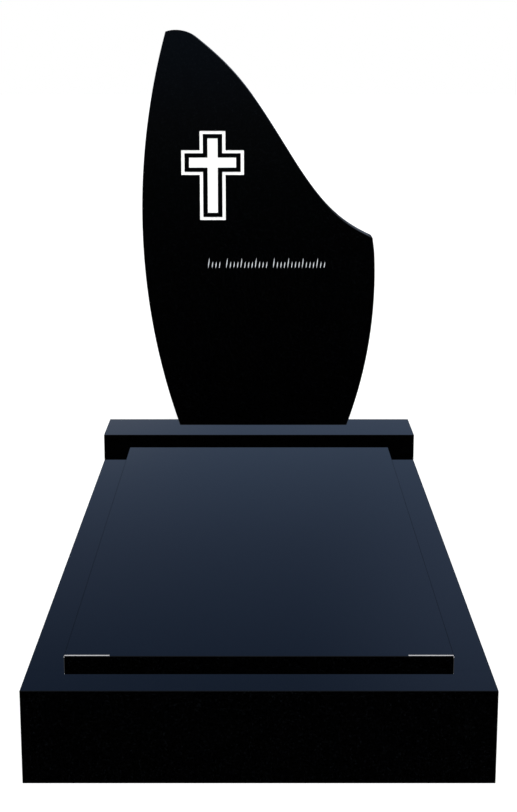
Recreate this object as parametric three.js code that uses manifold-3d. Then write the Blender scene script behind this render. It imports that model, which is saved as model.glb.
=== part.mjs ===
// A kerbed memorial in polished black granite: an upright headstone with a cut cross and a row of
// cut strokes, its base, four kerb stones round an open plot, and the slab that covers the plot.
// Millimetres, +Z up. The front faces -Y. The origin is on the ground, in the middle of the kerbs.

import * as THREE from "three";
import { mergeVertices } from "three/addons/utils/BufferGeometryUtils.js";
import Module from "manifold-3d";

const inch = 25.4;

// Kerb stones
const kerbsWidth = 36 * inch;
const kerbHeight = 7.5 * inch;
const kerbThickness = 4 * inch;
const kerbInFrontOfBase = 68.5 * inch;

// Base under the headstone, as wide as the kerbs and flush with their back
const baseDepth = 8 * inch;
const baseHeight = 3 * inch;

// Cover slab, laid on the kerbs with its back edge against the base
const slabWidth = 30 * inch;
const slabHeight = 1.5 * inch;
const slabFrontMargin = 3.2 * inch;

// Headstone. Its outline is given from the middle of the base and up from its own foot.
const stoneThickness = 3 * inch;
const stoneSetback = 4.87 * inch;
const leftSide = { x: 1590, z: 627.5, radius: 1933 };
const rightSide = { x: -971.7, z: 447.5, radius: 1314.5 };
const crown = { x: -239, z: 1071, radius: 92.8 };
const crownStart = 108.54;
const crownEnd = 51.8;
const sweepMiddle = { x: 94, z: 806.4, slope: -57.8 };
const sweepEnd = { x: 318, z: 574.9, slope: -26.4 };
const sweepPull = [158, 214.6, 165, 94];
const shoulder = { x: 334.9, z: 566.7 };
const rightSideTop = 526;

// Cross: a solid inner cross, and an outer band with a strip of polished face between the two. It is
// drawn from the middle of its arms with an even band, and then cut a little less high than drawn.
const cross = { x: -135.3, z: 786.6, below: 156.4, above: 74.8, span: 137.3, shaft: 29.7, arm: 31.1 };
const bandOuter = 22.7;
const bandInner = 13.4;
const crossHeightScale = 0.934;

// One row of leaning strokes in three groups. Every fourth stroke is tall.
const rowZ = 476.6;
const strokeHeights = [31, 20, 20, 20];
const strokeWidth = 2.7;
const strokePitch = 10.7;
const strokeLean = 4 / 31;
const strokeGroups = [
  { start: -148.4, count: 4 },
  { start: -95, count: 12 },
  { start: 43.7, count: 15 },
];

const arris = 1;
const cutDepth = 2;
const joint = 0.3;
const curveSteps = 20;

const wasm = await Module();
wasm.setup();

const frontY = -(kerbInFrontOfBase + baseDepth) / 2;
const backY = -frontY;
const baseFrontY = frontY + kerbInFrontOfBase;
const degrees = Math.PI / 180;

// The same geometry with its corners shared, which closes it.
function closed(geometry) {
  geometry.deleteAttribute("normal");
  geometry.deleteAttribute("uv");
  return mergeVertices(geometry, 1e-4);
}

function toSolid(geometry) {
  const merged = closed(geometry);
  const vertProperties = new Float32Array(merged.attributes.position.array);
  const triVerts = new Uint32Array(merged.index.array);
  return new wasm.Manifold(new wasm.Mesh({ numProp: 3, vertProperties, triVerts }));
}

function toGeometry(solid) {
  const { vertProperties, triVerts } = solid.getMesh();
  const geometry = new THREE.BufferGeometry();
  geometry.setAttribute("position", new THREE.BufferAttribute(vertProperties, 3));
  geometry.setIndex(new THREE.BufferAttribute(triVerts, 1));
  geometry.computeVertexNormals();
  return geometry;
}

// A straight-sided stone of an outline, standing on the XY plane, with an arris round both faces.
function dressed(shape, thickness) {
  const geometry = new THREE.ExtrudeGeometry(shape, {
    depth: thickness - 2 * arris,
    bevelSize: arris,
    bevelThickness: arris,
    bevelOffset: -arris,
    bevelSegments: 1,
  });
  return geometry.translate(0, 0, arris);
}

// A rectangle centred on the origin with its corners cut to an arris.
function trimmedRectangle(width, depth) {
  const x = width / 2;
  const y = depth / 2;
  const corners = [
    [x - arris, -y],
    [x, arris - y],
    [x, y - arris],
    [x - arris, y],
    [arris - x, y],
    [-x, y - arris],
    [-x, arris - y],
    [arris - x, -y],
  ];
  return new THREE.Shape(corners.map(([cornerX, cornerY]) => new THREE.Vector2(cornerX, cornerY)));
}

// The headstone's outline: foot, right side, shoulder, sweep up to the crown, and left side.
function stoneOutline() {
  const sideAngle = (side, z) => Math.asin((z - side.z) / side.radius);
  const along = (point, slope, distance) => [
    point.x + distance * Math.cos(slope * degrees),
    point.z + distance * Math.sin(slope * degrees),
  ];
  const onCrown = (angle) => ({
    x: crown.x + crown.radius * Math.cos(angle * degrees),
    z: crown.z + crown.radius * Math.sin(angle * degrees),
  });
  const crownLeft = onCrown(crownStart);
  const crownRight = onCrown(crownEnd);
  const leftFoot = leftSide.x - Math.sqrt(leftSide.radius ** 2 - leftSide.z ** 2);

  const outline = new THREE.Shape();
  outline.moveTo(leftFoot, 0);
  outline.absarc(
    rightSide.x,
    rightSide.z,
    rightSide.radius,
    sideAngle(rightSide, 0),
    sideAngle(rightSide, rightSideTop),
  );
  outline.lineTo(shoulder.x, shoulder.z);
  outline.lineTo(sweepEnd.x, sweepEnd.z);
  outline.bezierCurveTo(
    ...along(sweepEnd, sweepEnd.slope, -sweepPull[3]),
    ...along(sweepMiddle, sweepMiddle.slope, sweepPull[2]),
    sweepMiddle.x,
    sweepMiddle.z,
  );
  outline.bezierCurveTo(
    ...along(sweepMiddle, sweepMiddle.slope, -sweepPull[1]),
    ...along(crownRight, crownEnd - 90, sweepPull[0]),
    crownRight.x,
    crownRight.z,
  );
  outline.absarc(crown.x, crown.z, crown.radius, crownEnd * degrees, crownStart * degrees);
  outline.absarc(
    leftSide.x,
    leftSide.z,
    leftSide.radius,
    Math.PI - sideAngle(leftSide, crownLeft.z),
    Math.PI - sideAngle(leftSide, 0),
  );
  const points = outline.getPoints(curveSteps);
  const isNew = (point, i) => point.distanceTo(points.at(i - 1)) > joint;
  return new THREE.Shape(points.filter(isNew));
}

// The inner cross as drawn, grown outwards by the same distance all round, at its final height.
function crossCorners(grow) {
  const shaft = cross.shaft / 2 + grow;
  const arm = cross.arm / 2 + grow;
  const reach = cross.span / 2 + grow;
  const half = [
    [shaft, -cross.below - grow],
    [shaft, -arm],
    [reach, -arm],
    [reach, arm],
    [shaft, arm],
    [shaft, cross.above + grow],
  ];
  const mirrored = half.map(([x, z]) => [-x, z]).reverse();
  const placed = ([x, z]) => new THREE.Vector2(cross.x + x, cross.z + z * crossHeightScale);
  return [...half, ...mirrored].map(placed);
}

function crossShapes() {
  const band = new THREE.Shape(crossCorners(bandOuter));
  band.holes.push(new THREE.Path(crossCorners(bandInner)));
  return [band, new THREE.Shape(crossCorners(0))];
}

// A leaning stroke that tapers to a point at both ends.
function strokeShape(x, height) {
  const lean = (strokeLean * height) / 2;
  const middleZ = rowZ + height / 2;
  const shape = new THREE.Shape();
  shape.moveTo(x - lean, rowZ);
  shape.quadraticCurveTo(x + strokeWidth, middleZ, x + lean, rowZ + height);
  shape.quadraticCurveTo(x - strokeWidth, middleZ, x - lean, rowZ);
  return shape;
}

function strokeShapes() {
  const shapes = [];
  for (const { start, count } of strokeGroups) {
    for (let i = 0; i < count; i += 1) {
      const height = strokeHeights[i % strokeHeights.length];
      shapes.push(strokeShape(start + i * strokePitch, height));
    }
  }
  return shapes;
}

// The headstone lies face up while it is cut, its foot on the X axis.
function headstoneGeometry() {
  const slab = toSolid(dressed(stoneOutline(), stoneThickness));
  const cutter = (shapes, steps) => {
    const settings = { depth: 2 * cutDepth, bevelEnabled: false, curveSegments: steps };
    const geometry = new THREE.ExtrudeGeometry(shapes, settings);
    return toSolid(geometry.translate(0, 0, stoneThickness - cutDepth));
  };
  return toGeometry(slab.subtract(cutter(crossShapes(), 1)).subtract(cutter(strokeShapes(), 3)));
}

// The kerbs are worked as one ring, sawn flat at the ground, and parted into four stones, so that
// their arrises run on past the joints.
function kerbStones() {
  const length = 2 * backY;
  const innerX = kerbsWidth / 2 - kerbThickness;
  const innerY = length / 2 - kerbThickness;
  const ringShape = trimmedRectangle(kerbsWidth, length);
  const plot = [
    [-innerX, -innerY],
    [innerX, -innerY],
    [innerX, innerY],
    [-innerX, innerY],
  ];
  ringShape.holes.push(new THREE.Path(plot.map(([x, y]) => new THREE.Vector2(x, y))));
  const belowGround = 3 * arris;
  const ring = toSolid(
    dressed(ringShape, kerbHeight + belowGround).translate(0, 0, -belowGround),
  );

  const part = (lowX, highX, lowY, highY) => {
    const box = new THREE.BoxGeometry(highX - lowX, highY - lowY, 2 * kerbHeight);
    box.translate((lowX + highX) / 2, (lowY + highY) / 2, kerbHeight);
    return toGeometry(ring.intersect(toSolid(box)));
  };
  const past = 10;
  const outX = kerbsWidth / 2 + past;
  const outY = length / 2 + past;
  const sideEnd = innerY - joint;
  return {
    kerb_front: part(-outX, outX, -outY, -innerY),
    kerb_left: part(-outX, -innerX + past, -sideEnd, sideEnd),
    kerb_right: part(innerX - past, outX, -sideEnd, sideEnd),
    kerb_head: part(-outX, outX, innerY, outY),
  };
}

function stoneMesh(name, geometry) {
  const material = new THREE.MeshStandardMaterial({ color: 0x07090d, roughness: 0.08, metalness: 0 });
  const mesh = new THREE.Mesh(geometry, material);
  mesh.name = name;
  return mesh;
}

const memorial = new THREE.Group();

const kerbs = new THREE.Group();
for (const [name, geometry] of Object.entries(kerbStones())) {
  kerbs.add(stoneMesh(name, geometry));
}
memorial.add(kerbs);

const onKerbs = new THREE.Group();
onKerbs.position.z = kerbHeight + joint;
memorial.add(onKerbs);

const slabFrontY = frontY + slabFrontMargin;
const slabBackY = baseFrontY - joint;
const slabShape = trimmedRectangle(slabWidth, slabBackY - slabFrontY);
const slab = stoneMesh("cover_slab", dressed(slabShape, slabHeight));
slab.position.y = (slabFrontY + slabBackY) / 2;
onKerbs.add(slab);

const base = stoneMesh("base", dressed(trimmedRectangle(kerbsWidth, baseDepth), baseHeight));
base.position.y = backY - baseDepth / 2;
onKerbs.add(base);

const headstone = stoneMesh("headstone", headstoneGeometry());
headstone.rotation.x = Math.PI / 2;
headstone.position.set(0, baseFrontY + stoneSetback + stoneThickness, baseHeight + joint);
onKerbs.add(headstone);

export default memorial;
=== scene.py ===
import math

import bmesh
import bpy
from mathutils import Matrix, Vector
from mathutils.geometry import interpolate_bezier


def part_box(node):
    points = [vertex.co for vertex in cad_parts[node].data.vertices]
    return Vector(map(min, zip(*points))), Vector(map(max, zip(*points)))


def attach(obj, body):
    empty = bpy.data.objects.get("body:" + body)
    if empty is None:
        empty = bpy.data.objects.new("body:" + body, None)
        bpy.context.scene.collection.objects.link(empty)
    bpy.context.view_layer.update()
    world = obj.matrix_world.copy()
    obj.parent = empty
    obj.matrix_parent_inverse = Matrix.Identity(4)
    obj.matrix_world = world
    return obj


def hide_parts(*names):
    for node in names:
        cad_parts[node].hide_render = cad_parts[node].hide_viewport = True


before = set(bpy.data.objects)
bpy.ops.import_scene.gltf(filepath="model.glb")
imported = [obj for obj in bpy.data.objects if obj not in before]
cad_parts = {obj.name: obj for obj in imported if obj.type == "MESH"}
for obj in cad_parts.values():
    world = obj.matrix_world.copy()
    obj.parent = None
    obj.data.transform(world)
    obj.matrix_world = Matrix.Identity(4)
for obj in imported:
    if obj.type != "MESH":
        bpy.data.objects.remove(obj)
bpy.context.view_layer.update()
scene = bpy.context.scene

mm = 0.001
inch = 25.4 * mm

# Camera, solved from the photo's straight edges: in pixels of the photo, metres, and degrees below
# level. The sensor is Blender's usual one, in millimetres, and the view ends past the floor's edge.
PHOTO_WIDTH = 517
PHOTO_HEIGHT = 812
MIDDLE_OF_STONES = 259
FOCAL_PIXELS = 1612.2
CAMERA_DISTANCE = 3.8496
CAMERA_HEIGHT = 1.398
CAMERA_DOWN = 12.737
SENSOR_WIDTH = 36
FAR_END_OF_VIEW = 200

# Headstone outline, from the middle of the base and up from its own foot. Angles and slopes are in
# degrees, and the pulls are how far the handles of the sweep's two curves reach.
LEFT_SIDE = {"x": 1590 * mm, "z": 627.5 * mm, "radius": 1933 * mm}
RIGHT_SIDE = {"x": -971.7 * mm, "z": 447.5 * mm, "radius": 1314.5 * mm}
CROWN = {"x": -239 * mm, "z": 1071 * mm, "radius": 92.8 * mm}
CROWN_START = 108.54
CROWN_END = 51.8
SWEEP_MIDDLE = {"x": 94 * mm, "z": 806.4 * mm, "slope": -57.8}
SWEEP_END = {"x": 318 * mm, "z": 574.9 * mm, "slope": -26.4}
SWEEP_PULLS = (158 * mm, 214.6 * mm, 165 * mm, 94 * mm)
SHOULDER = {"x": 334.9 * mm, "z": 566.7 * mm}
RIGHT_SIDE_TOP = 526 * mm

# Curves are drawn in straight pieces of about this length
CURVE_PIECE = 8 * mm

# Cross: its solid middle, and a band round it with a strip of polished face between the two. It is
# drawn from the middle of its arms with an even band, and then cut a little less high than drawn.
CROSS_MIDDLE = {"x": -135.3 * mm, "z": 786.6 * mm}
CROSS_BELOW = 156.4 * mm
CROSS_ABOVE = 74.8 * mm
CROSS_SPAN = 137.3 * mm
CROSS_SHAFT = 29.7 * mm
CROSS_ARM = 31.1 * mm
BAND_OUTER = 22.7 * mm
BAND_INNER = 13.4 * mm
CROSS_HEIGHT_SCALE = 0.934

# One row of leaning strokes in three groups: where each starts, and how many strokes it has. Every
# fourth stroke is tall. A stroke's curved side is drawn in a few straight steps.
ROW_HEIGHT = 476.6 * mm
STROKE_HEIGHTS = (31 * mm, 20 * mm, 20 * mm, 20 * mm)
STROKE_WIDTH = 2.7 * mm
STROKE_PITCH = 10.7 * mm
STROKE_LEAN = 4 / 31
STROKE_GROUPS = ((-148.4 * mm, 4), (-95 * mm, 12), (43.7 * mm, 15))
STROKE_STEPS = 8

# A cutter starts a little clear of the face that it cuts
CUT_DEPTH = 2 * mm
CLEAR = 1 * mm

# An edge that turns more than the sharp angle is ground to an arris
ARRIS = 1 * mm
SHARP_ANGLE = math.radians(30)

# Painted highlights, pale lines of colour where the arris catches the light, at the cover slab's two
# front corners: along its top just in from the edge, a short way down the corner, and a spot at the
# corner's foot
LINE_LENGTH = 3.5 * inch
LINE_START = 1.5 * mm
LINE_END = 6.5 * mm
LINE_RETURN = 3.5 * mm
LINE_FOOT = 2 * mm

# Sockets of a Mix node, which has one pair for numbers and one for colours
FACTOR = 0
NUMBER_A = 2
NUMBER_B = 3
COLOUR_A = 6
COLOUR_B = 7
MIXED_COLOUR = 2


def srgb(code):
    """An sRGB hex colour as Blender's linear colour."""
    parts = [int(code[i : i + 2], 16) / 255 for i in (1, 3, 5)]
    linear = [p / 12.92 if p <= 0.04045 else ((p + 0.055) / 1.055) ** 2.4 for p in parts]
    return (*linear, 1)


def add_node(tree, kind, inputs=None, stops=(), **settings):
    """Adds a node: its settings, a ramp's stops, and its inputs, each a value or an output to link."""
    node = tree.nodes.new(kind)
    for name, value in settings.items():
        setattr(node, name, value)
    for i, (position, colour) in enumerate(stops):
        elements = node.color_ramp.elements
        stop = elements[i] if i < 2 else elements.new(position)
        stop.position = position
        stop.color = colour
    for name, value in (inputs or {}).items():
        if isinstance(value, bpy.types.NodeSocket):
            tree.links.new(value, node.inputs[name])
        else:
            node.inputs[name].default_value = value
    return node


def new_material(name):
    """An empty node material with its Object coordinates and its shader."""
    material = bpy.data.materials.new(name)
    material.use_nodes = True
    tree = material.node_tree
    tree.nodes.clear()
    place = add_node(tree, "ShaderNodeTexCoord").outputs["Object"]
    shader = add_node(tree, "ShaderNodeBsdfPrincipled")
    add_node(tree, "ShaderNodeOutputMaterial", {"Surface": shader.outputs[0]})
    return material, tree, place, shader


# Granite: its crystals, the faint clouds that they lie in, the slight unevenness of its polish, and
# the lines of the saw. A face is sawn where its normal's upward part is below the limit.
CRYSTAL_SIZE = 2 * mm
CLOUD_SIZE = 60 * mm
UNEVENNESS_SIZE = 3 * mm
UNEVENNESS_HEIGHT = 0.004 * mm
SAW_LINE_SPACING = 6 * mm
SAW_LINE_HEIGHT = 0.15 * mm
SAWN_LIMIT = -0.9
SAWN_ROUGHNESS = 0.75

# A wave texture's bands turn this many radians in one unit
WAVE_STEP = 20


def polished_black_granite():
    """Black granite, ground and polished to a mirror. It looks near black, with crystals that differ
    a little in shade and gloss and a polish that is barely uneven, so that mirror images have a faint
    grain. Faces that look down keep the dull grey lines of the saw."""
    material, tree, place, shader = new_material("polished_black_granite")
    shader.inputs["IOR"].default_value = 1.55

    crystal = add_node(
        tree, "ShaderNodeTexVoronoi", {"Vector": place, "Scale": 1 / CRYSTAL_SIZE, "Randomness": 1.0}
    )
    chance = add_node(tree, "ShaderNodeSeparateColor", {"Color": crystal.outputs["Color"]})
    shade = add_node(
        tree,
        "ShaderNodeValToRGB",
        {"Fac": chance.outputs["Red"]},
        stops=(
            (0, srgb("#000000")),
            (0.7, srgb("#010101")),
            (0.92, srgb("#020203")),
            (1, srgb("#07090b")),
        ),
    )
    cloud = add_node(
        tree, "ShaderNodeTexNoise", {"Vector": place, "Scale": 1 / CLOUD_SIZE, "Detail": 3.0}
    )
    cloudiness = add_node(
        tree, "ShaderNodeMapRange", {"Value": cloud.outputs["Fac"], "To Min": 0.7, "To Max": 1.3}
    )
    stone_colour = add_node(
        tree,
        "ShaderNodeVectorMath",
        {0: shade.outputs["Color"], "Scale": cloudiness.outputs["Result"]},
        operation="SCALE",
    )

    normal = add_node(tree, "ShaderNodeNewGeometry").outputs["Normal"]
    facing = add_node(tree, "ShaderNodeSeparateXYZ", {0: normal})
    sawn = add_node(
        tree,
        "ShaderNodeMath",
        {0: facing.outputs["Z"], 1: SAWN_LIMIT},
        operation="LESS_THAN",
    )
    colour = add_node(
        tree,
        "ShaderNodeMix",
        {FACTOR: sawn.outputs[0], COLOUR_A: stone_colour.outputs[0], COLOUR_B: srgb("#3a3c3f")},
        data_type="RGBA",
    )
    tree.links.new(colour.outputs[MIXED_COLOUR], shader.inputs["Base Color"])

    gloss = add_node(
        tree, "ShaderNodeMapRange", {"Value": chance.outputs["Green"], "To Min": 0.04, "To Max": 0.08}
    )
    roughness = add_node(
        tree,
        "ShaderNodeMix",
        {FACTOR: sawn.outputs[0], NUMBER_A: gloss.outputs["Result"], NUMBER_B: SAWN_ROUGHNESS},
    )
    tree.links.new(roughness.outputs[0], shader.inputs["Roughness"])

    unevenness = add_node(
        tree, "ShaderNodeTexNoise", {"Vector": place, "Scale": 1 / UNEVENNESS_SIZE, "Detail": 1.0}
    )
    polished_height = add_node(
        tree,
        "ShaderNodeMath",
        {0: unevenness.outputs["Fac"], 1: UNEVENNESS_HEIGHT},
        operation="MULTIPLY",
    )
    saw_lines = add_node(
        tree,
        "ShaderNodeTexWave",
        {
            "Vector": place,
            "Scale": math.tau / (WAVE_STEP * SAW_LINE_SPACING),
            "Distortion": 1.5,
            "Detail": 2.0,
        },
        bands_direction="Y",
    )
    sawn_height = add_node(
        tree, "ShaderNodeMath", {0: saw_lines.outputs["Fac"], 1: SAW_LINE_HEIGHT}, operation="MULTIPLY"
    )
    height = add_node(
        tree,
        "ShaderNodeMix",
        {
            FACTOR: sawn.outputs[0],
            NUMBER_A: polished_height.outputs[0],
            NUMBER_B: sawn_height.outputs[0],
        },
    )
    bump = add_node(tree, "ShaderNodeBump", {"Distance": 1.0, "Height": height.outputs[0]})
    tree.links.new(bump.outputs[0], shader.inputs["Normal"])
    return material


def paint_in_a_cut(name, colour, thin_colour, grit, grit_height, roughness):
    """Paint over a cut surface. The grit of the cut, given as its size and height, shows through as a
    fine relief, and the paint is thinner on the peaks."""
    material, tree, place, shader = new_material(name)
    shader.inputs["Roughness"].default_value = roughness
    bumps = add_node(
        tree, "ShaderNodeTexNoise", {"Vector": place, "Scale": 1 / grit, "Detail": 2.0}
    )
    cover = add_node(
        tree,
        "ShaderNodeValToRGB",
        {"Fac": bumps.outputs["Fac"]},
        stops=((0.45, srgb(colour)), (0.8, srgb(thin_colour))),
    )
    tree.links.new(cover.outputs["Color"], shader.inputs["Base Color"])
    height = add_node(
        tree, "ShaderNodeMath", {0: bumps.outputs["Fac"], 1: grit_height}, operation="MULTIPLY"
    )
    bump = add_node(tree, "ShaderNodeBump", {"Distance": 1.0, "Height": height.outputs[0]})
    tree.links.new(bump.outputs[0], shader.inputs["Normal"])
    return material


def white_enamel_on_blasted_granite():
    """White enamel, brushed into a sand-blasted recess: a soft sheen over a fine pebbled floor."""
    return paint_in_a_cut(
        "white_enamel_on_blasted_granite", "#f7f7f6", "#ebecec", 1.2 * mm, 0.12 * mm, 0.42
    )


def silver_enamel_in_v_cut_granite():
    """Silver-grey enamel, brushed into V-cut strokes: a satin grey, with the chisel's fine marks."""
    return paint_in_a_cut(
        "silver_enamel_in_v_cut_granite", "#dadce0", "#c2c5cb", 0.8 * mm, 0.05 * mm, 0.38
    )


def painted_arris_highlight():
    """A painted highlight: a pale, even satin line of colour that stands in for the light which the
    cover slab's arris catches near its front corners. A fine grit relief just shows through, drawn
    coarser than real grit, or it wouldn't."""
    # Pale greys that paint the arris's highlight into the colour
    return paint_in_a_cut(
        "painted_arris_highlight", "#dadadc", "#c8c8cb", 1.5 * mm, 0.06 * mm, 0.5
    )


# Floor: its radius and the size of its patches, in metres, and the strength of its own light
FLOOR_RADIUS = 40
FLOOR_PATCH = 1 / 3
FLOOR_GLOW = 0.6


def matt_white_board():
    """White board with a matt coat in two near whites, which lie in soft patches. It is evenly lit from
    within, like a light table, so that shadows on it stay faint."""
    material, tree, place, shader = new_material("matt_white_board")
    shader.inputs["Roughness"].default_value = 0.9
    shader.inputs["Emission Color"].default_value = srgb("#ffffff")
    shader.inputs["Emission Strength"].default_value = FLOOR_GLOW
    patches = add_node(
        tree, "ShaderNodeTexNoise", {"Vector": place, "Scale": 1 / FLOOR_PATCH, "Detail": 4.0}
    )
    shade = add_node(
        tree,
        "ShaderNodeValToRGB",
        {"Fac": patches.outputs["Fac"]},
        stops=((0, srgb("#dadad9")), (1, srgb("#e2e2e2"))),
    )
    tree.links.new(shade.outputs["Color"], shader.inputs["Base Color"])
    return material


def crisp(mesh):
    """Shades a mesh smooth along its curves and crisp at its arrises."""
    mesh.shade_smooth()
    mesh.set_sharp_from_angle(angle=SHARP_ANGLE)


def link(name, bm, materials):
    """Makes an object of a finished bmesh and puts it in the scene."""
    bmesh.ops.recalc_face_normals(bm, faces=bm.faces)
    mesh = bpy.data.meshes.new(name)
    bm.to_mesh(mesh)
    bm.free()
    crisp(mesh)
    for material in materials:
        mesh.materials.append(material)
    made = bpy.data.objects.new(name, mesh)
    scene.collection.objects.link(made)
    return made


def grind_arrises(bm):
    """A narrow flat arris along every sharp edge."""
    sharp = [edge for edge in bm.edges if edge.calc_face_angle(0) > SHARP_ANGLE]
    bmesh.ops.bevel(
        bm,
        geom=sharp,
        offset=ARRIS,
        offset_type="OFFSET",
        segments=1,
        profile=0.5,
        affect="EDGES",
        clamp_overlap=True,
        material=-1,
    )


def sweep_round(bm, start, circle, angle, y):
    """Carries a chain of edges on from a vertex, clockwise round a circle, and gives its last vertex."""
    steps = max(1, round(angle * circle["radius"] / CURVE_PIECE))
    turned = bmesh.ops.spin(
        bm,
        geom=[start],
        cent=(circle["x"], y, circle["z"]),
        axis=(0, 1, 0),
        angle=angle,
        steps=steps,
        use_duplicate=False,
    )
    return next(part for part in turned["geom_last"] if isinstance(part, bmesh.types.BMVert))


def headstone_face(bm, foot, y):
    """The headstone's outline as one face: left side, crown, sweep in two curves, shoulder, right
    side."""

    def height_angle(side, z):
        return math.asin((z - side["z"]) / side["radius"])

    def along(start, slope, distance):
        slope = math.radians(slope)
        return Vector((start.x + distance * math.cos(slope), y, start.z + distance * math.sin(slope)))

    def on_crown(degrees):
        centre = Vector((CROWN["x"], y, CROWN["z"]))
        angle = math.radians(degrees)
        return centre + CROWN["radius"] * Vector((math.cos(angle), 0, math.sin(angle)))

    middle = Vector((SWEEP_MIDDLE["x"], y, SWEEP_MIDDLE["z"]))
    end = Vector((SWEEP_END["x"], y, SWEEP_END["z"]))
    crown_right = on_crown(CROWN_END)
    out_of_crown, into_middle, out_of_middle, into_end = SWEEP_PULLS
    sweeps = (
        (
            crown_right,
            along(crown_right, CROWN_END - 90, out_of_crown),
            along(middle, SWEEP_MIDDLE["slope"], -into_middle),
            middle,
        ),
        (
            middle,
            along(middle, SWEEP_MIDDLE["slope"], out_of_middle),
            along(end, SWEEP_END["slope"], -into_end),
            end,
        ),
    )

    foot_x = LEFT_SIDE["x"] - math.sqrt(LEFT_SIDE["radius"] ** 2 - LEFT_SIDE["z"] ** 2)
    first = bm.verts.new((foot_x, y, 0))
    rise = height_angle(LEFT_SIDE, on_crown(CROWN_START).z) - height_angle(LEFT_SIDE, 0)
    last = sweep_round(bm, first, LEFT_SIDE, rise, y)
    last = sweep_round(bm, last, CROWN, math.radians(CROWN_START - CROWN_END), y)
    for sweep in sweeps:
        pieces = round((sweep[3] - sweep[0]).length / CURVE_PIECE)
        for point in interpolate_bezier(*sweep, pieces + 1)[1:]:
            new = bm.verts.new(point)
            bm.edges.new((last, new))
            last = new
    top_angle = height_angle(RIGHT_SIDE, RIGHT_SIDE_TOP)
    side_top_x = RIGHT_SIDE["x"] + RIGHT_SIDE["radius"] * math.cos(top_angle)
    for x, z in ((SHOULDER["x"], SHOULDER["z"]), (side_top_x, RIGHT_SIDE_TOP)):
        new = bm.verts.new((x, y, z))
        bm.edges.new((last, new))
        last = new
    fall = top_angle - height_angle(RIGHT_SIDE, 0)
    last = sweep_round(bm, last, RIGHT_SIDE, fall, y)
    bm.edges.new((last, first))
    bmesh.ops.edgeloop_fill(bm, edges=bm.edges)
    bmesh.ops.translate(bm, verts=bm.verts, vec=(0, 0, foot))


def thicken(bm, faces, depth):
    """Draws faces out into a closed block, away from the front."""
    drawn = bmesh.ops.extrude_face_region(bm, geom=faces)["geom"]
    moved = [part for part in drawn if isinstance(part, bmesh.types.BMVert)]
    bmesh.ops.translate(bm, verts=moved, vec=(0, depth, 0))


def cross_cutter(bm, foot, face_y):
    """Draws a cross out of a square, marks off a strip in it by two insets, and takes the strip away,
    which leaves the band and the middle."""
    bmesh.ops.create_grid(bm, x_segments=1, y_segments=1, size=0.5)
    half_shaft = CROSS_SHAFT / 2 + BAND_OUTER
    half_arm = CROSS_ARM / 2 + BAND_OUTER
    bmesh.ops.rotate(bm, verts=bm.verts, matrix=Matrix.Rotation(math.pi / 2, 3, "X"))
    bmesh.ops.scale(bm, verts=bm.verts, vec=(2 * half_shaft, 1, 2 * half_arm))
    reach = CROSS_SPAN / 2 + BAND_OUTER - half_shaft
    rise = CROSS_ABOVE + BAND_OUTER - half_arm
    drop = CROSS_BELOW + BAND_OUTER - half_arm
    limbs = {}
    for edge in bm.edges:
        middle = (edge.verts[0].co + edge.verts[1].co) / 2
        sideways = abs(middle.x) > abs(middle.z)
        length = reach if sideways else rise if middle.z > 0 else drop
        limbs[edge] = middle.normalized() * length
    for edge, way in limbs.items():
        drawn = bmesh.ops.extrude_edge_only(bm, edges=[edge])["geom"]
        moved = [part for part in drawn if isinstance(part, bmesh.types.BMVert)]
        bmesh.ops.translate(bm, verts=moved, vec=way)
    bmesh.ops.recalc_face_normals(bm, faces=bm.faces)
    middle_face = bmesh.ops.dissolve_faces(bm, faces=bm.faces)["region"]
    bmesh.ops.inset_region(
        bm,
        faces=middle_face,
        thickness=BAND_OUTER - BAND_INNER,
        use_boundary=True,
        use_even_offset=True,
    )
    strip = bmesh.ops.inset_region(
        bm,
        faces=middle_face,
        thickness=BAND_INNER,
        use_boundary=True,
        use_even_offset=True,
    )["faces"]
    bmesh.ops.delete(bm, geom=strip, context="FACES")
    bmesh.ops.scale(bm, verts=bm.verts, vec=(1, 1, CROSS_HEIGHT_SCALE))
    place = (CROSS_MIDDLE["x"], face_y - CLEAR, foot + CROSS_MIDDLE["z"])
    bmesh.ops.translate(bm, verts=bm.verts, vec=place)
    thicken(bm, bm.faces[:], CLEAR + CUT_DEPTH)


def stroke_cutter(bm, x, z, face_y, height):
    """A slim lens with a square section, one corner of which points into the stone. Its inner half
    cuts a V that runs out to a point at both ends."""
    reach = height / 2
    to_centre = (reach**2 - (STROKE_WIDTH / 2) ** 2) / STROKE_WIDTH
    before = set(bm.verts)
    tip = bm.verts.new((0, 0, -reach))
    bmesh.ops.spin(
        bm,
        geom=[tip],
        cent=(-to_centre, 0, 0),
        axis=(0, 1, 0),
        angle=-2 * math.atan2(reach, to_centre),
        steps=STROKE_STEPS,
        use_duplicate=False,
    )
    side = [v for v in bm.verts if v not in before]
    edges = list({edge for v in side for edge in v.link_edges})
    bmesh.ops.spin(
        bm,
        geom=side + edges,
        cent=(0, 0, 0),
        axis=(0, 0, 1),
        angle=2 * math.pi,
        steps=4,
        use_merge=True,
        use_duplicate=False,
    )
    whole = [v for v in bm.verts if v not in before]
    bmesh.ops.remove_doubles(bm, verts=whole, dist=0.01 * mm)
    whole = [v for v in bm.verts if v not in before]
    lean = Matrix.Identity(4)
    lean[0][2] = STROKE_LEAN
    place = Matrix.Translation((x, face_y, z + reach))
    bmesh.ops.transform(bm, verts=whole, matrix=place @ lean)


def cut(stone, cutter):
    """Cuts one closed mesh out of another and keeps each cut surface's own material."""
    modifier = stone.modifiers.new("cut", "BOOLEAN")
    modifier.operation = "DIFFERENCE"
    modifier.solver = "EXACT"
    modifier.object = cutter
    depsgraph = bpy.context.evaluated_depsgraph_get()
    finished = bpy.data.meshes.new_from_object(stone.evaluated_get(depsgraph))
    crisp(finished)
    stone.modifiers.clear()
    stone.data = finished
    bpy.data.objects.remove(cutter)


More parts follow.
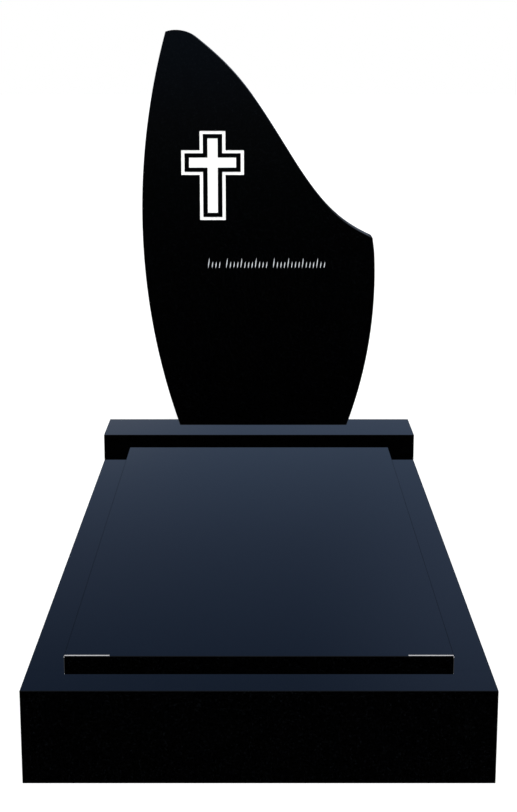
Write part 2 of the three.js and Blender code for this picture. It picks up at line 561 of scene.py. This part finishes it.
def make_headstone(granite, white, silver):
    """The headstone, with the cross and the row of strokes cut into its front and painted."""
    low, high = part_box("headstone")
    finishes = (granite, white, silver)

    stone_bm = bmesh.new()
    headstone_face(stone_bm, low.z, low.y)
    thicken(stone_bm, stone_bm.faces[:], high.y - low.y)
    grind_arrises(stone_bm)
    stone = link("headstone_cut_and_polished", stone_bm, finishes)

    cutter_bm = bmesh.new()
    cross_cutter(cutter_bm, low.z, low.y)
    for face in cutter_bm.faces:
        face.material_index = finishes.index(white)
    crossed = set(cutter_bm.faces)
    for start, count in STROKE_GROUPS:
        for i in range(count):
            height = STROKE_HEIGHTS[i % len(STROKE_HEIGHTS)]
            stroke_cutter(cutter_bm, start + i * STROKE_PITCH, low.z + ROW_HEIGHT, low.y, height)
    for face in cutter_bm.faces:
        if face not in crossed:
            face.material_index = finishes.index(silver)
    cut(stone, link("cutter", cutter_bm, finishes))
    return stone


def make_cover_slab(granite, painted_highlight):
    """The cover slab, with a highlight painted on its edge at the two front corners."""
    low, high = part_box("cover_slab")
    finishes = (granite, painted_highlight)
    bm = bmesh.new()
    bmesh.ops.create_cube(bm, size=1)
    bmesh.ops.scale(bm, verts=bm.verts, vec=high - low)
    bmesh.ops.translate(bm, verts=bm.verts, vec=(low + high) / 2)
    grind_arrises(bm)
    across = Vector((1, 0, 0))
    along = Vector((0, 1, 0))
    up = Vector((0, 0, 1))
    highlight_edges = (
        (across, low.x + LINE_LENGTH),
        (across, high.x - LINE_LENGTH),
        (along, low.y + LINE_START),
        (along, low.y + LINE_END),
        (up, high.z - LINE_RETURN),
        (up, low.z + LINE_FOOT),
    )
    for way, distance in highlight_edges:
        everything = bm.verts[:] + bm.edges[:] + bm.faces[:]
        bmesh.ops.bisect_plane(bm, geom=everything, plane_co=way * distance, plane_no=way)
    bmesh.ops.recalc_face_normals(bm, faces=bm.faces)
    # Faces at the two front corners take the painted highlight
    for face in bm.faces:
        middle = face.calc_center_median()
        near_side = min(middle.x - low.x, high.x - middle.x) < LINE_LENGTH
        along_front = LINE_START < middle.y - low.y < LINE_END
        on_top = face.normal.z > 0.9
        on_corner = abs(face.normal.x) > 0.1 and face.normal.y < -0.1
        at_an_end = middle.z > high.z - LINE_RETURN or middle.z < low.z + LINE_FOOT
        if on_top and near_side and along_front or on_corner and at_an_end:
            face.material_index = finishes.index(painted_highlight)
    return link("cover_slab_polished", bm, finishes)


def stand_camera():
    """The photo's viewpoint and lens, shifted by the half pixel that its stones are off the middle."""
    data = bpy.data.cameras.new("camera")
    data.sensor_width = SENSOR_WIDTH
    data.lens = SENSOR_WIDTH * FOCAL_PIXELS / PHOTO_HEIGHT
    data.shift_x = (PHOTO_WIDTH / 2 - MIDDLE_OF_STONES) / PHOTO_HEIGHT
    data.clip_end = FAR_END_OF_VIEW
    camera = bpy.data.objects.new("camera", data)
    camera.location = (0, -CAMERA_DISTANCE, CAMERA_HEIGHT)
    camera.rotation_euler = (math.radians(90 - CAMERA_DOWN), 0, 0)
    scene.collection.objects.link(camera)
    scene.camera = camera


def lay_floor():
    """A round floor, out of the polish's mirror images as in the photo."""
    bm = bmesh.new()
    bmesh.ops.create_circle(bm, cap_ends=True, segments=64, radius=FLOOR_RADIUS)
    floor = link("floor", bm, [matt_white_board()])
    floor.visible_glossy = False


# The key light's strength, and in degrees its breadth and its height above the horizon
KEY_STRENGTH = 2.5
KEY_BREADTH = 20
KEY_HEIGHT = 39


def hang_key_light():
    """One broad soft light from in front and above, low enough to reach into the cuts."""
    data = bpy.data.lights.new("key_light", "SUN")
    data.energy = KEY_STRENGTH
    data.angle = math.radians(KEY_BREADTH)
    key = bpy.data.objects.new("key_light", data)
    key.rotation_euler = (math.radians(90 - KEY_HEIGHT), 0, 0)
    scene.collection.objects.link(key)


# What the camera sees round the stones, and the plain soft light that they get from all sides
BACKGROUND = (1, 1, 1, 1)
SOFT_FILL = (0.3, 0.3, 0.3, 1)

# Studio walls as the polish mirrors them: degrees above the horizon, and light by red, green and blue
OVERHEAD = (
    (42, (0.70, 0.74, 0.80)),
    (52, (0.70, 0.74, 0.80)),
    (64, (0.14, 0.15, 0.17)),
    (90, (0.30, 0.32, 0.35)),
)
ASIDE = (
    (-90, (0.14, 0.14, 0.15)),
    (-40, (0.24, 0.25, 0.26)),
    (-24, (0.48, 0.50, 0.53)),
    (-10, (0.68, 0.71, 0.76)),
    (0, (0.46, 0.50, 0.57)),
    (10, (0.34, 0.40, 0.51)),
    (20, (0.28, 0.35, 0.48)),
    (33, (0.16, 0.21, 0.31)),
    *OVERHEAD,
)
BEHIND = (
    (-90, (0.02, 0.02, 0.02)),
    (-50, (0.03, 0.03, 0.03)),
    (-30, (0.40, 0.41, 0.43)),
    (-13, (0.45, 0.47, 0.50)),
    (-10, (0.007, 0.009, 0.012)),
    (-3, (0.008, 0.010, 0.015)),
    (1, (0.11, 0.13, 0.17)),
    (4, (0.16, 0.19, 0.24)),
    (10, (0.18, 0.23, 0.33)),
    (13.4, (0.138, 0.190, 0.296)),
    (14.2, (0.115, 0.168, 0.274)),
    (17.6, (0.080, 0.119, 0.208)),
    (22.4, (0.050, 0.083, 0.160)),
    (33, (0.040, 0.065, 0.120)),
    *OVERHEAD,
)
IN_FRONT = (
    (-90, (0, 0, 0)),
    (-12, (0, 0, 0)),
    (-6.9, (0.005, 0.006, 0.007)),
    (-4.7, (0.012, 0.017, 0.019)),
    (-2.7, (0.030, 0.036, 0.042)),
    (0, (0.048, 0.070, 0.105)),
    (10, (0.18, 0.23, 0.33)),
    (33, (0.10, 0.15, 0.24)),
    *OVERHEAD,
)

# Where the walls behind and in front take over from those aside: degrees round from straight behind
# where each starts to show, and where it is whole
WALL_BLENDS = (
    ("behind", 38, 22),
    ("in_front", 130, 160),
)

# Soft glows on the wall behind the stones: degrees to the right, degrees up, reach in degrees, and
# light. Each is whole within its core, which is given in degrees too.
GLOWS = (
    (12, 21, 10.5, (0.040, 0.052, 0.080)),
    (-9, 14, 9, (0.012, 0.012, 0.014)),
    (-7, 7.5, 8.8, (0.085, 0.078, 0.060)),
)
GLOW_CORE = 3


def light_walls():
    """A room that is plain white to the camera, gives the stones plain soft light, and has graded walls
    for their polish to mirror."""
    world = bpy.data.worlds.new("studio")
    scene.world = world
    world.use_nodes = True
    tree = world.node_tree
    tree.nodes.clear()

    way = add_node(tree, "ShaderNodeTexCoord").outputs["Generated"]
    parts = add_node(tree, "ShaderNodeSeparateXYZ", {0: way})
    slant = add_node(tree, "ShaderNodeMath", {0: parts.outputs["Z"]}, operation="ARCSINE")
    level = add_node(
        tree,
        "ShaderNodeMapRange",
        {"Value": slant.outputs[0], "From Min": -math.pi / 2, "From Max": math.pi / 2},
    )
    turn = add_node(
        tree, "ShaderNodeMath", {0: parts.outputs["X"], 1: parts.outputs["Y"]}, operation="ARCTAN2"
    )
    off_back = add_node(tree, "ShaderNodeMath", {0: turn.outputs[0]}, operation="ABSOLUTE")

    walls = {}
    for name, stops in (("aside", ASIDE), ("behind", BEHIND), ("in_front", IN_FRONT)):
        walls[name] = add_node(
            tree,
            "ShaderNodeValToRGB",
            {"Fac": level.outputs["Result"]},
            stops=[((degrees + 90) / 180, (*light, 1)) for degrees, light in stops],
        ).outputs["Color"]

    room = walls["aside"]
    for name, start, whole in WALL_BLENDS:
        share = add_node(
            tree,
            "ShaderNodeMapRange",
            {
                "Value": off_back.outputs[0],
                "From Min": math.radians(start),
                "From Max": math.radians(whole),
            },
            interpolation_type="SMOOTHSTEP",
        )
        room = add_node(
            tree,
            "ShaderNodeMix",
            {FACTOR: share.outputs["Result"], COLOUR_A: room, COLOUR_B: walls[name]},
            data_type="RGBA",
        ).outputs[MIXED_COLOUR]

    for right, up, reach, light in GLOWS:
        right, up = math.radians(right), math.radians(up)
        aim = Vector((math.sin(right) * math.cos(up), math.cos(right) * math.cos(up), math.sin(up)))
        nearness = add_node(tree, "ShaderNodeVectorMath", {0: way, 1: aim}, operation="DOT_PRODUCT")
        away = add_node(
            tree, "ShaderNodeMath", {0: nearness.outputs["Value"]}, operation="ARCCOSINE"
        )
        share = add_node(
            tree,
            "ShaderNodeMapRange",
            {
                "Value": away.outputs[0],
                "From Min": math.radians(reach),
                "From Max": math.radians(GLOW_CORE),
            },
            interpolation_type="SMOOTHSTEP",
        )
        room = add_node(
            tree,
            "ShaderNodeMix",
            {FACTOR: share.outputs["Result"], COLOUR_A: room, COLOUR_B: (*light, 1)},
            data_type="RGBA",
            blend_type="ADD",
        ).outputs[MIXED_COLOUR]

    path = add_node(tree, "ShaderNodeLightPath")
    plain = add_node(
        tree,
        "ShaderNodeMix",
        {FACTOR: path.outputs["Is Camera Ray"], COLOUR_A: SOFT_FILL, COLOUR_B: BACKGROUND},
        data_type="RGBA",
    )
    seen = add_node(
        tree,
        "ShaderNodeMix",
        {FACTOR: path.outputs["Is Glossy Ray"], COLOUR_A: plain.outputs[MIXED_COLOUR], COLOUR_B: room},
        data_type="RGBA",
    )
    light = add_node(tree, "ShaderNodeBackground", {"Color": seen.outputs[MIXED_COLOUR]})
    add_node(tree, "ShaderNodeOutputWorld", {"Surface": light.outputs[0]})


# Camera first, then the pieces, each where its CAD node is
stand_camera()

granite = polished_black_granite()
white = white_enamel_on_blasted_granite()
silver = silver_enamel_in_v_cut_granite()
# Pale lines painted on the cover slab's front corners as the arris's highlight
painted_highlight = painted_arris_highlight()

headstone = make_headstone(granite, white, silver)
cover_slab = make_cover_slab(granite, painted_highlight)
for piece, node in ((headstone, "headstone"), (cover_slab, "cover_slab")):
    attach(piece, "root")
    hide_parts(node)

for name in ("base", "kerb_front", "kerb_left", "kerb_right", "kerb_head"):
    for material_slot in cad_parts[name].material_slots:
        material_slot.material = granite

# As in the photo, the polish mirrors the studio walls and not the next stone
for stone in (headstone, cover_slab, *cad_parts.values()):
    stone.visible_glossy = False

lay_floor()
hang_key_light()
light_walls()
scene.view_settings.view_transform = "Standard"
